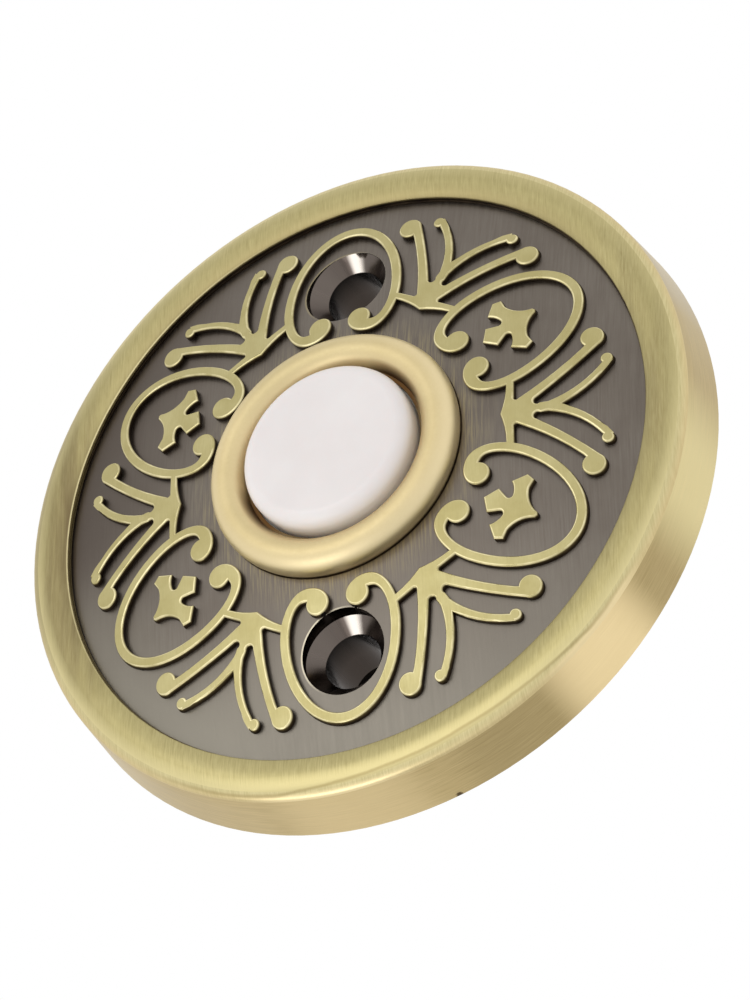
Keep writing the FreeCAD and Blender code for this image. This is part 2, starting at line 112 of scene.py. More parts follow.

# Painted highlights and shade along the side, with yellower and greyer stretches: turn and spread in
# degrees, amount, shade.
LIT_SIDE = (252, 229, 177)
YELLOW_SIDE = (246, 236, 180)
GREY_SIDE = (192, 186, 174)
SHADED_SIDE = (150, 132, 90)
SIDE_STRETCHES = (
    (298, 15, 0.6, SHADED_SIDE),
    (329, 13, 0.5, SHADED_SIDE),
    (314.5, 12.5, 0.85, LIT_SIDE),
    (268, 15, 0.4, LIT_SIDE),
    (225, 24, 0.15, SHADED_SIDE),
    (347, 17, 0.5, YELLOW_SIDE),
    (10, 22, 0.3, SHADED_SIDE),
    (26, 12, 0.35, GREY_SIDE),
    (95, 30, 0.3, LIT_SIDE),
    (150, 34, 0.3, SHADED_SIDE),
)

# Dark nick at the side's lower edge.
NICK_TURN = math.radians(283.4)
NICK_PLACE = Vector((PLATE_RADIUS * math.cos(NICK_TURN), -0.15 * MM,
                     PLATE_RADIUS * math.sin(NICK_TURN)))

# Painted highlights and shade on a countersink: turn and spread in degrees, amount, shade.
COUNTERSINK_GLINTS = (
    (152, 52, 0.5, (124, 115, 108)),
    (335, 62, 0.6, (60, 52, 47)),
    (60, 26, 0.4, (132, 123, 116)),
    (82, 15, 0.8, (204, 196, 187)),
)

# Countersinks and bores, by radius and height in mm.
BORE_RADIUS = 2.61
COUNTERSINK_TOP = 6.6
PALE_LIP_RADIUS = 3.96

# Camera, lights and surround.
CAMERA_PLACE = Vector((0.2190, -0.4310, -0.3203))
CAMERA_FORWARD = Vector((-0.37839, 0.74213, 0.55323))
CAMERA_UP = Vector((0.24740, -0.49485, 0.83302))
CAMERA_LENS = 242.35
CAMERA_SENSOR = 36
CAMERA_NEAR = 0.01
CAMERA_FAR = 20
FLOOR_HEIGHT = -0.62
FLOOR_SIZE = 1.2
FLOOR_COLOUR = (0.9, 0.9, 0.9, 1)
# Painted shade: dark discs just behind the screw holes.
HOLE_SHADE_GAP = 0.2 * MM
HOLE_SHADE_RADIUS = 4.2 * MM
HOLE_SHADE_COLOUR = (0.02, 0.018, 0.016, 1)
WHITE = (1, 1, 1, 1)
SOFTER_LEVEL = 0.85


# Node tools.


VALUE = "NodeSocketFloat"
VECTOR = "NodeSocketVector"


def linear(level):
    """Linear level from a screen value of 0 to 255."""
    level = level / 255
    return level / 12.92 if level <= 0.04045 else ((level + 0.055) / 1.055) ** 2.4


class Nodes:
    """Node tree, with a plain word for each kind of node that the finishes need."""

    def __init__(self, tree):
        self.tree = tree

    def join(self, value, socket):
        """Links a socket to another one, or sets it to a plain value."""
        if isinstance(value, bpy.types.NodeSocket):
            self.tree.links.new(value, socket)
        else:
            socket.default_value = value

    def add(self, kind, inputs=None, **settings):
        """New node with its settings and with its sockets joined."""
        node = self.tree.nodes.new(kind)
        for name, value in settings.items():
            setattr(node, name, value)
        for name, value in (inputs or {}).items():
            self.join(value, node.inputs[name])
        return node

    def maths(self, operation, first, second=0.0, clamp=False):
        settings = {"operation": operation, "use_clamp": clamp}
        return self.add("ShaderNodeMath", {0: first, 1: second}, **settings).outputs[0]

    def times(self, first, second):
        return self.maths("MULTIPLY", first, second)

    def plus(self, first, second):
        return self.maths("ADD", first, second)

    def minus(self, first, second):
        return self.maths("SUBTRACT", first, second)

    def larger(self, first, second):
        return self.maths("MAXIMUM", first, second)

    def ramp(self, value, low, high, to_low=0.0, to_high=1.0):
        """Value carried from one range to another, held at its ends."""
        inputs = {"Value": value, "From Min": low, "From Max": high,
                  "To Min": to_low, "To Max": to_high}
        return self.add("ShaderNodeMapRange", inputs).outputs["Result"]

    def mix(self, amount, first, second):
        """Mix of two colours, each a socket or three screen values."""
        node = self.add("ShaderNodeMix", data_type="RGBA")
        self.join(amount, node.inputs[0])
        for colour, socket in ((first, node.inputs[6]), (second, node.inputs[7])):
            if not isinstance(colour, bpy.types.NodeSocket):
                colour = (*map(linear, colour), 1.0)
            self.join(colour, socket)
        return node.outputs[2]

    def vector(self, operation, *inputs):
        node = self.add("ShaderNodeVectorMath", dict(enumerate(inputs)), operation=operation)
        return node.outputs

    def axes(self, place):
        return self.add("ShaderNodeSeparateXYZ", {"Vector": place}).outputs

    def noise(self, place, scale, detail, roughness):
        inputs = {"Vector": place, "Scale": scale, "Detail": detail, "Roughness": roughness}
        return self.add("ShaderNodeTexNoise", inputs).outputs["Fac"]

    def facing(self, direction, turn, spread):
        """Mask round one direction from the button's axis, fading over some degrees."""
        aim = (math.cos(math.radians(turn)), 0, math.sin(math.radians(turn)))
        inputs = {"Value": self.vector("DOT_PRODUCT", direction, aim)["Value"],
                  "From Min": math.cos(math.radians(spread)), "From Max": 1.0}
        mask = self.add("ShaderNodeMapRange", inputs, interpolation_type="SMOOTHSTEP")
        return mask.outputs["Result"]

    def use(self, group, **inputs):
        """One of the shared effects, by the sockets that it hands out."""
        return self.add("ShaderNodeGroup", inputs, node_tree=group).outputs


# Effects that several materials share.


class Effect(Nodes):
    """Group of nodes with named inputs, which hands out its results by name."""

    def __init__(self, name, **inputs):
        super().__init__(bpy.data.node_groups.new(name, "ShaderNodeTree"))
        for socket, kind in inputs.items():
            self.tree.interface.new_socket(socket, in_out="INPUT", socket_type=kind)
        self.given = self.tree.nodes.new("NodeGroupInput").outputs

    def give(self, **results):
        for name, value in results.items():
            kind = VECTOR if value.type == "VECTOR" else VALUE
            self.tree.interface.new_socket(name, in_out="OUTPUT", socket_type=kind)
        end = self.tree.nodes.new("NodeGroupOutput")
        for name, value in results.items():
            self.tree.links.new(value, end.inputs[name])
        return self.tree


def brushing():
    """Fine scratches of two widths, drawn out by the coordinates that come in."""
    effect = Effect("brushing", Vector=VECTOR, Contrast=VALUE)
    fine = effect.noise(effect.given["Vector"], 1.0, 3.0, 0.65)
    broad = effect.noise(effect.given["Vector"], 0.16, 2.0, 0.5)
    low = effect.minus(0.5, effect.given["Contrast"])
    high = effect.plus(0.5, effect.given["Contrast"])
    return effect.give(Scratches=effect.ramp(fine, low, high), Bands=effect.ramp(broad, low, high))


def patina():
    """Cloudy darker patches, with small specks among them."""
    effect = Effect("patina", Vector=VECTOR, Size=VALUE)
    scale = effect.maths("DIVIDE", 1.0, effect.given["Size"])
    cloud = effect.noise(effect.given["Vector"], scale, 4.0, 0.6)
    dots = effect.noise(effect.given["Vector"], effect.times(scale, 9.0), 2.0, 0.5)
    return effect.give(Patches=effect.ramp(cloud, 0.35, 0.65), Specks=effect.ramp(dots, 0.62, 0.72))


def ring_place():
    """Distance from an axis along Y and height off the wall in mm, and direction from the axis."""
    effect = Effect("ring_place", Vector=VECTOR)
    axes = effect.axes(effect.given["Vector"])
    flat = effect.add("ShaderNodeCombineXYZ", {"X": axes["X"], "Z": axes["Z"]}).outputs["Vector"]
    return effect.give(Radius=effect.times(effect.vector("LENGTH", flat)["Value"], 1 / MM),
                       Height=effect.times(axes["Y"], -1 / MM),
                       Direction=effect.vector("NORMALIZE", flat)["Vector"])


def relief_level():
    """Height in mm above the sunken field, along the dome's own radius."""
    effect = Effect("relief_level", Vector=VECTOR)
    reach = effect.vector("DISTANCE", effect.given["Vector"], DOME_CENTRE)["Value"]
    return effect.give(Level=effect.times(effect.minus(reach, FIELD_RADIUS), 1 / MM))


def groove():
    """Painted shade of a fine groove near the rim's outer corner, which wanders inwards along the
    bottom.
    """
    effect = Effect("groove", Vector=VECTOR)
    spot = effect.use(RING_PLACE, Vector=effect.given["Vector"])
    wander = effect.use(PATINA, Vector=effect.given["Vector"], Size=0.004)["Patches"]
    reach = effect.plus(spot["Radius"], effect.times(wander, 0.1))
    reach = effect.plus(reach, effect.times(effect.facing(spot["Direction"], 285, 32), 0.7))
    off_line = effect.maths("ABSOLUTE", effect.minus(reach, GROOVE_RADIUS))
    stretch = effect.maths("MULTIPLY", effect.facing(spot["Direction"], 280, 55), 1.6, clamp=True)
    return effect.give(Groove=effect.times(effect.ramp(off_line, 0.04, 0.2, 1, 0), stretch))


BRUSHING = brushing()
PATINA = patina()
RING_PLACE = ring_place()
RELIEF_LEVEL = relief_level()
GROOVE = groove()


# Materials. Places along the axes are in metres, but radius, height and level are in mm.


class Finish(Nodes):
    """Material that is laid on in coats, each over the colour so far."""

    def __init__(self, name, **constants):
        self.material = bpy.data.materials.new(name)
        self.material.use_nodes = True
        super().__init__(self.material.node_tree)
        self.shader = self.tree.nodes["Principled BSDF"]
        for socket, value in constants.items():
            self.shader.inputs[socket.replace("_", " ")].default_value = value
        self.place = self.add("ShaderNodeTexCoord").outputs["Object"]
        self.colour = None

    def strokes(self, scale, contrast=0.2):
        drawn_out = self.add("ShaderNodeMapping", {"Vector": self.place, "Scale": scale})
        return self.use(BRUSHING, Vector=drawn_out.outputs["Vector"], Contrast=contrast)

    def clouds(self, size):
        return self.use(PATINA, Vector=self.place, Size=size)

    def spot(self):
        """Place round the button's axis."""
        return self.use(RING_PLACE, Vector=self.place)

    def spot_at_hole(self):
        """Place round the axis of the nearer screw hole."""
        axes = self.axes(self.place)
        hole_height = self.times(self.maths("SIGN", axes["Z"]), HOLE_OFFSET)
        inputs = {"X": axes["X"], "Y": axes["Y"], "Z": self.minus(axes["Z"], hole_height)}
        off_hole = self.add("ShaderNodeCombineXYZ", inputs).outputs["Vector"]
        return self.use(RING_PLACE, Vector=off_hole)

    def ground(self, mask, first, second):
        """First coat, between two shades."""
        self.colour = self.mix(mask, first, second)

    def coat(self, mask, shade, amount=None):
        """Lays a shade over the colour so far, where the mask is and by its amount."""
        if amount is not None:
            mask = self.times(mask, amount)
        self.colour = self.mix(mask, self.colour, shade)

    def seal(self, marks, smooth, rough, depth=0.0, strength=1.0):
        """Joins the colour, with roughness and fine relief that follow the marks."""
        self.join(self.colour, self.shader.inputs["Base Color"])
        self.join(self.ramp(marks, 0, 1, smooth, rough), self.shader.inputs["Roughness"])
        if depth:
            inputs = {"Height": marks, "Distance": depth, "Strength": strength}
            relief = self.add("ShaderNodeBump", inputs).outputs["Normal"]
            self.join(relief, self.shader.inputs["Normal"])
        return self.material


def brushed_rim():
    """Plain rim of the plate: olive brass under clear lacquer, brushed up and down."""
    rim = Finish("brushed_rim", Metallic=1.0)
    strokes = rim.strokes(RIM_STROKES)
    spot = rim.spot()
    axes = rim.axes(rim.place)
    rim.ground(strokes["Scratches"], (160, 148, 100), (194, 183, 133))
    rim.coat(strokes["Bands"], (180, 168, 118), 0.35)
    rim.coat(rim.clouds(0.012)["Patches"], (166, 155, 106), 0.3)

    # Painted shade: darker towards the left and right edges, streaked with the brushing, and along
    # the top of the inner edge.
    left = rim.ramp(axes["X"], -30 * MM, -22.5 * MM, 1.3, 0)
    right = rim.ramp(axes["X"], 22 * MM, 29.5 * MM, 0, 0.6)
    sides = rim.times(rim.plus(left, right), rim.ramp(spot["Radius"], 27.7, 30.6, 1, 0.3))
    sides = rim.times(sides, rim.ramp(strokes["Bands"], 0, 1, 1, 0.4))
    top = rim.times(rim.ramp(axes["Z"], 8 * MM, 22 * MM, 0, 0.5),
                    rim.ramp(spot["Radius"], 27.7, 29.2, 1, 0))
    rim.coat(rim.larger(sides, top), (108, 92, 66))

    # Painted highlight on the outer half of the lower rim, where it rolls over.
    bottom = rim.facing(spot["Direction"], 278, 34)
    roll_start = rim.ramp(bottom, 0, 1, 29.7, 29.1)
    rolled_highlight = rim.ramp(spot["Radius"], roll_start, rim.plus(roll_start, 1.1))
    lower = rim.ramp(axes["Z"], 6 * MM, -12 * MM, 0.25, 0.85)
    rim.coat(rim.times(rolled_highlight, lower), rim.mix(bottom, (224, 211, 158), (202, 189, 138)))

    # Painted shade of the groove along the lower rim.
    rim.coat(rim.use(GROOVE, Vector=rim.place)["Groove"], GROOVE_SHADE, GROOVE_AMOUNT)
    # Painted highlight: thin pale line along the rim's inner edge on the left.
    inner_edge_highlight = rim.ramp(spot["Radius"], 27.76, 27.86, 0.9, 0)
    rim.coat(rim.times(inner_edge_highlight, rim.facing(spot["Direction"], 160, 62)), (232, 218, 168))
    return rim.seal(strokes["Scratches"], 0.30, 0.40, **BRUSHED)


def rolled_corner():
    """Rounded corner between rim and side, with painted highlights and painted shade in places."""
    corner = Finish("rolled_corner", Metallic=1.0)
    strokes = corner.strokes(RIM_STROKES)
    spot = corner.spot()
    on_rim = corner.mix(strokes["Scratches"], (192, 179, 130), (216, 204, 156))
    on_side = corner.mix(strokes["Scratches"], (190, 172, 122), (208, 190, 140))
    corner.ground(corner.ramp(spot["Height"], 5.8, 5.45), on_rim, on_side)
    # Painted shade on the left of the corner.
    corner.coat(corner.facing(spot["Direction"], 172, 36), (146, 134, 94), 0.6)

    # Painted highlights along the corner's edge at the bottom.
    glints = corner.larger(corner.facing(spot["Direction"], 266, 16),
                           corner.facing(spot["Direction"], 316, 13))
    edge = corner.ramp(spot["Height"], 5.8, 5.6)
    corner.coat(corner.times(edge, corner.ramp(glints, 0, 1, 0.2, 0.85)), (246, 226, 178))
    # Painted shade of the groove along the lower rim.
    corner.coat(corner.use(GROOVE, Vector=corner.place)["Groove"], GROOVE_SHADE, GROOVE_AMOUNT)
    return corner.seal(strokes["Scratches"], 0.36, 0.46, **BRUSHED)


def brushed_side():
    """Straight side of the plate, brushed along its edge, with stretches of painted highlight and
    shade.
    """
    side = Finish("brushed_side", Metallic=1.0)
    strokes = side.strokes(SIDE_STROKES)
    spot = side.spot()
    side.ground(strokes["Scratches"], (174, 153, 104), (212, 191, 142))
    side.coat(strokes["Bands"], (196, 175, 125), 0.3)
    side.coat(side.clouds(0.014)["Patches"], (214, 194, 146), 0.3)
    # Painted highlights and shade in stretches round the side.
    for turn, spread, amount, shade in SIDE_STRETCHES:
        streaks = side.ramp(strokes["Scratches"], 0, 1, amount, amount * 0.8)
        side.coat(side.times(side.facing(spot["Direction"], turn, spread), streaks), shade)

    away = side.vector("DISTANCE", side.place, NICK_PLACE)["Value"]
    ragged = side.plus(away, side.times(strokes["Scratches"], 0.3 * MM))
    side.coat(side.ramp(ragged, 0.36 * MM, 0.5 * MM, 0.9, 0), (66, 50, 30))
    return side.seal(strokes["Scratches"], 0.34, 0.46, **BRUSHED)


def relief_brass():
    """Tops of the raised pattern, rubbed back to brass."""
    relief = Finish("relief_brass", Metallic=1.0)
    strokes = relief.strokes(RELIEF_STROKES, contrast=0.25)
    relief.ground(relief.clouds(0.004)["Patches"], (176, 165, 114), (190, 180, 131))
    relief.coat(strokes["Scratches"], (166, 154, 104), 0.3)
    return relief.seal(strokes["Scratches"], 0.34, 0.44, **BRUSHED)


def worn_and_highlit_brass():
    """Rounded top edges of the pattern, paler from wear and from a painted highlight, and dark at
    their outer foot.
    """
    edge = Finish("worn_and_highlit_brass", Metallic=1.0)
    clouds = edge.clouds(0.0025)
    level = edge.use(RELIEF_LEVEL, Vector=edge.place)["Level"]
    edge.ground(clouds["Patches"], (182, 171, 121), (232, 221, 174))
    edge.coat(edge.ramp(level, 0.47, 0.52, 0.65, 0), (92, 78, 50))
    return edge.seal(clouds["Patches"], 0.26, 0.34)


def darkened_field():
    """Sunken field, darkened to a brown grey, brushed up and down and rubbed near the button."""
    field = Finish("darkened_field", Metallic=1.0)
    strokes = field.strokes(FIELD_STROKES)
    clouds = field.clouds(0.010)
    spot = field.spot()
    axes = field.axes(field.place)
    field.ground(strokes["Scratches"], (108, 100, 92), (124, 117, 108))
    field.coat(strokes["Bands"], (118, 111, 103), 0.3)
    field.coat(clouds["Patches"], (94, 85, 77), 0.35)

    # Painted shade: darker towards the left.
    leftwards = field.minus(field.times(axes["Z"], 0.26), field.times(axes["X"], 0.97))
    dull = field.times(field.ramp(leftwards, 13 * MM, 26 * MM, 0, 0.85),
                       field.ramp(axes["Z"], -16 * MM, 0, 0.3, 1))
    field.coat(dull, (86, 77, 70))
    # Painted light: lighter towards the bottom and the lower left.
    field.coat(field.ramp(axes["Z"], -12 * MM, -26 * MM, 0, 0.65), (137, 132, 121))
    outer = field.ramp(spot["Radius"], 19, 26, 0, 0.5)
    field.coat(field.times(field.facing(spot["Direction"], 222, 40), outer), (148, 143, 130))
    rubbed = field.times(field.ramp(spot["Radius"], 12.0, 15.0, 1, 0),
                         field.ramp(strokes["Scratches"], 0.4, 0.9))
    field.coat(rubbed, (158, 145, 108), 0.55)

    # Pale line round the upper-left lips of the countersinks: partly wear, partly painted highlight.
    hole = field.spot_at_hole()
    lip = field.times(field.ramp(hole["Radius"], PALE_LIP_RADIUS, PALE_LIP_RADIUS + 0.06, 1, 0),
                      field.facing(hole["Direction"], 150, 95))
    lip = field.times(lip, field.ramp(clouds["Specks"], 0, 1, 0.85, 0.3))
    upper = field.ramp(axes["Z"], -1 * MM, 1 * MM)
    field.coat(lip, field.mix(upper, (212, 202, 178), (160, 148, 116)))
    return field.seal(strokes["Scratches"], 0.34, 0.45, **BRUSHED)


def darkened_wall():
    """Steep sides of the pattern, where the dark finish stays thick."""
    wall = Finish("darkened_wall", Metallic=0.9)
    clouds = wall.clouds(0.002)
    spot = wall.spot()
    level = wall.use(RELIEF_LEVEL, Vector=wall.place)["Level"]
    on_rim = wall.ramp(spot["Radius"], 27.5, 27.6)
    bottom = wall.ramp(wall.axes(wall.place)["Z"], 8 * MM, 24 * MM, 5.56, 5.78)
    rubbed = wall.mix(on_rim, wall.times(wall.ramp(level, 0.22, 0.5), 0.8),
                      wall.ramp(spot["Height"], bottom, wall.plus(bottom, 0.12)))
    wall.ground(clouds["Patches"], (48, 39, 31), (70, 58, 44))
    wall.coat(rubbed, wall.mix(on_rim, (142, 124, 82), (168, 155, 108)))
    return wall.seal(clouds["Patches"], 0.4, 0.55)


def black_nickel():
    """Turned faces of the screw holes: painted glints and shade on the countersinks, painted shade
    on the steps and in the bores.
    """
    nickel = Finish("black_nickel", Metallic=1.0)
    spot = nickel.spot_at_hole()
    rays = nickel.noise(spot["Direction"], 1.9, 1.5, 0.5)
    nickel.ground(nickel.ramp(rays, 0.36, 0.64), (74, 66, 61), (98, 89, 83))
    # Painted glints and shade round each countersink.
    for turn, spread, amount, shade in COUNTERSINK_GLINTS:
        nickel.coat(nickel.facing(spot["Direction"], turn, spread), shade, amount)

    # Painted shade: the upper hole's step darker than the lower hole's.
    upper = nickel.ramp(nickel.axes(nickel.place)["Z"], -1 * MM, 1 * MM)
    step = nickel.ramp(spot["Height"], COUNTERSINK_TOP - 0.03, COUNTERSINK_TOP)
    nickel.coat(step, nickel.mix(upper, (58, 50, 45), (118, 110, 102)))
    # Painted shade in the bores.
    bore = nickel.ramp(spot["Radius"], BORE_RADIUS, BORE_RADIUS + 0.03, 1, 0)
    deep = nickel.ramp(spot["Height"], 5.3, 2.6)
    nickel.coat(bore, nickel.mix(deep, (32, 28, 25), (62, 55, 50)))
    return nickel.seal(nickel.ramp(rays, 0.4, 0.6), 0.18, 0.3)


def rubbed_lip():
    """Fine bevel round the countersinks, rubbed pale in places."""
    lip = Finish("rubbed_lip", Metallic=1.0)
    clouds = lip.clouds(0.002)
    lip.ground(clouds["Patches"], (150, 140, 120), (230, 221, 198))
    return lip.seal(clouds["Patches"], 0.24, 0.34)


def cast_back():
    """Inside of the casting: dull, slightly grainy and darkened."""
    back = Finish("cast_back", Metallic=1.0)
    grains = back.clouds(0.0012)
    back.ground(back.clouds(0.006)["Patches"], (118, 108, 92), (146, 134, 110))
    back.coat(grains["Specks"], (88, 80, 68), 0.5)
    return back.seal(grains["Patches"], 0.48, 0.62, **CAST)


def satin_bezel():
    """Turned bead round the button: pale warm brass, with painted light on its outer and inner
    slopes, painted shade on its top and in the gap at the cap, and a dark line at its foot.
    """
    bezel = Finish("satin_bezel", Metallic=1.0)
    grain = bezel.strokes(BEZEL_GRAIN, contrast=0.25)
    spot = bezel.spot()
    bezel.ground(bezel.clouds(0.006)["Patches"], (212, 194, 147), (220, 202, 156))
    bezel.coat(grain["Scratches"], (206, 187, 140), 0.2)
    # Painted light on the outer slope, painted shade towards the top, painted light on the inner
    # slope.
    bezel.coat(bezel.ramp(spot["Radius"], 10.3, 11.4, 0, 0.8), (240, 223, 180))
    bezel.coat(bezel.facing(spot["Direction"], 105, 55), (184, 170, 128), 0.35)
    bezel.coat(bezel.ramp(spot["Radius"], 9.6, 8.9, 0, 0.6), (232, 212, 166))

    # Painted shade in the gap at the cap, darker at two ends of it.
    gap_shade = bezel.times(bezel.ramp(spot["Radius"], 8.3, 8.75, 1, 0),
                      bezel.ramp(spot["Height"], 9.0, 9.6, 1, 0))
    bezel.coat(gap_shade, (92, 70, 42), 0.85)
    gap_end_shade = bezel.larger(bezel.facing(spot["Direction"], 38, 30),
                        bezel.facing(spot["Direction"], 212, 26))
    bezel.coat(bezel.times(gap_end_shade, bezel.ramp(spot["Radius"], 8.45, 9.1, 0.9, 0)), (104, 72, 38))
    foot = bezel.times(bezel.ramp(spot["Height"], 8.25, 8.6, 1, 0),
                       bezel.ramp(spot["Radius"], 11, 11.3))
    bezel.coat(foot, (84, 66, 38), 0.8)
    return bezel.seal(grain["Scratches"], 0.44, 0.52, **TURNED)


def pearl_cap():
    """Push cap: warm white moulded plastic, a little translucent."""
    cap = Finish("pearl_cap", Metallic=0.0, IOR=1.49, Subsurface_Weight=0.3,
                 Subsurface_Radius=(0.0015, 0.0011, 0.001), Subsurface_Scale=1.0)
    cap.ground(cap.clouds(0.008)["Patches"], (232, 225, 223), (236, 230, 228))
    return cap.seal(cap.clouds(0.0008)["Patches"], 0.30, 0.36, **POLISHED)


def turned_metal(name, dark, light, roughness):
    """Small turned or pressed metal piece: fine tool marks and a few darker patches."""
    metal = Finish(name, Metallic=1.0)
    marks = metal.strokes(TOOL_MARKS, contrast=0.25)["Scratches"]
    metal.ground(marks, dark, light)
    metal.coat(metal.clouds(0.003)["Patches"], dark, 0.3)
    return metal.seal(marks, roughness - 0.05, roughness + 0.05, **TURNED)


def moulding(name, dark, light, roughness):
    """Moulded plastic with a fine spark-eroded grain."""
    plastic = Finish(name, Metallic=0.0, IOR=1.5)
    plastic.ground(plastic.clouds(0.006)["Patches"], dark, light)
    grain = plastic.clouds(0.0006)["Patches"]
    return plastic.seal(grain, roughness - 0.06, roughness + 0.06, **MOULDED)


def laminate():
    """Pressed paper board of the base: brown, with a woven and faintly layered surface."""
    board = Finish("laminate", Metallic=0.0, IOR=1.52)
    threads = [board.add("ShaderNodeTexWave",
                         {"Vector": board.place, "Scale": 900.0, "Distortion": 1.5, "Detail": 2.0},
                         bands_direction=direction).outputs["Fac"] for direction in "XZ"]
    weave = board.times(*threads)
    board.ground(board.clouds(0.007)["Patches"], (104, 66, 38), (128, 84, 50))
    board.coat(weave, (86, 54, 32), 0.4)
    return board.seal(weave, 0.38, 0.52, **MOULDED)


# The plate, with its edges rounded and its finishes parted.


RIM, SIDE, RELIEF, EDGE, FIELD, WALL, HOLE, BACK, CORNER, LIP = range(10)


def from_node(name):
    """Free copy of a CAD node's mesh with its loose triangles joined."""
    form = bmesh.new()
    form.from_mesh(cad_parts[name].data)
    bmesh.ops.remove_doubles(form, verts=form.verts, dist=WELD_DISTANCE)
    return form


def finish_piece(form, name, materials, body, node, sharp_angle):
    """Mesh object made from a form, smooth but for its sharp edges, that stands for a CAD node."""
    mesh = bpy.data.meshes.new(name)
    form.to_mesh(mesh)
    form.free()
    old_normals = mesh.attributes.get("custom_normal")
    if old_normals:
        mesh.attributes.remove(old_normals)
    for material in materials:
        mesh.materials.append(material)
    mesh.shade_smooth()
    mesh.set_sharp_from_angle(angle=sharp_angle)
    piece = bpy.data.objects.new(name, mesh)
    bpy.context.scene.collection.objects.link(piece)
    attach(piece, body)
    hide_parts(node)
    return piece


def radius_of(point):
    return math.hypot(point.x, point.z)


def dome_distance(point):
    return (point - DOME_CENTRE).length


def near(value, target):
    return abs(value - target) < SURFACE_MARGIN


def on_dome(face, radius):
    """Whether all corners of a face lie on the dome of that radius."""
    return all(near(dome_distance(vert.co), radius) for vert in face.verts)


def region_of(face):
    """Finish that a face of the plate belongs to."""
    centre = face.calc_center_median()
    radius = radius_of(centre)
    height = -centre.y
    outwards = face.normal.dot(OUT_OF_WALL)
    hole_distance = math.hypot(centre.x, abs(centre.z) - HOLE_OFFSET)
    if outwards < -STEEP:
        return BACK
    if hole_distance < COUNTERSINK_RADIUS + SURFACE_MARGIN:
        return FIELD if on_dome(face, FIELD_RADIUS) else HOLE
    if radius > FACE_RADIUS + SURFACE_MARGIN:
        if radius < HOLLOW_RADIUS + SURFACE_MARGIN and height < CORNER_HEIGHT:
            return BACK
        return SIDE if height < CORNER_HEIGHT - SURFACE_MARGIN else RIM
    if on_dome(face, RELIEF_RADIUS):
        return RELIEF
    if on_dome(face, FIELD_RADIUS):
        return FIELD
    lowest = min(dome_distance(vert.co) for vert in face.verts)
    return BACK if outwards < STEEP and lowest < FIELD_RADIUS - BACK_DEPTH else WALL


def onto_dome(point):
    """Nearest point of the raised pattern's top."""
    return DOME_CENTRE + (point - DOME_CENTRE).normalized() * RELIEF_RADIUS


def inward_step(vert):
    """Step from a corner of the outline into the pattern that keeps the rounded edge even."""
    walls = [face.normal for edge in vert.link_edges for face in edge.link_faces
             if face.material_index != EDGE
             and any(other.material_index == EDGE for other in edge.link_faces)]
    middle = sum(walls, Vector()) / len(walls)
    return -middle / max(middle.length_squared, MITRE_LIMIT) * RELIEF_EDGE_WIDTH


def unfold(form, home):
    """Draws corners back to the outline they came from wherever a face has turned over."""
    for _ in range(UNFOLD_ROUNDS):
        form.normal_update()
        tops = [face for face in form.faces if face.material_index in (EDGE, RELIEF)]
        turned = [face for face in tops
                  if face.normal.dot(face.calc_center_median() - DOME_CENTRE) < FIELD_RADIUS * STEEP]
        for vert in {vert for face in turned for vert in face.verts if vert in home}:
            vert.co = onto_dome(vert.co.lerp(home[vert], UNFOLD_STEP))


def soften_relief(form):
    """Gives the raised pattern the rounded, rubbed edge of a casting."""
    tops = [face for face in form.faces if face.material_index == RELIEF]
    ring = bmesh.ops.inset_region(form, faces=tops, thickness=FIRST_INSET,
                                  use_even_offset=False, use_boundary=True)["faces"]
    for face in ring:
        face.material_index = EDGE
    outline = {vert for face in ring for vert in face.verts
               if any(other.material_index not in (EDGE, RELIEF) for other in vert.link_faces)}
    form.normal_update()
    home = {}
    for vert in outline:
        step = inward_step(vert)
        for edge in vert.link_edges:
            inner = edge.other_vert(vert)
            inside = all(face.material_index == EDGE for face in edge.link_faces)
            if inside and inner not in outline:
                inner.co = onto_dome(vert.co + step)
                home[inner] = vert.co.copy()
    unfold(form, home)
    for vert in outline:
        vert.co += (DOME_CENTRE - vert.co).normalized() * RELIEF_EDGE_DROP


def round_edges(form, edges, width, segments, finish):
    """Rounds some edges and gives the new faces one finish."""
    rounded = bmesh.ops.bevel(form, geom=edges, offset=width, offset_type="OFFSET",
                              segments=segments, profile=0.5, material=-1, affect="EDGES",
                              clamp_overlap=True)
    for face in rounded["faces"]:
        face.material_index = finish


def bevel_lips(form):
    """Breaks the sharp lips of the countersinks."""
    lips = [edge for edge in form.edges
            if {face.material_index for face in edge.link_faces} == {FIELD, HOLE}]
    round_edges(form, lips, LIP_BEVEL, 2, LIP)


def roll_rim(form):
    """Lets the rim's outer half fall away in a soft roll."""
    for vert in form.verts:
        radius = radius_of(vert.co)
        on_rim = -vert.co.y > CORNER_HEIGHT
        if on_rim and ROLL_START < radius < SHOULDER_RADIUS + SURFACE_MARGIN:
            way_out = (radius - ROLL_START) / (SHOULDER_RADIUS - ROLL_START)
            vert.co.y += ROLL_DROP * way_out**2


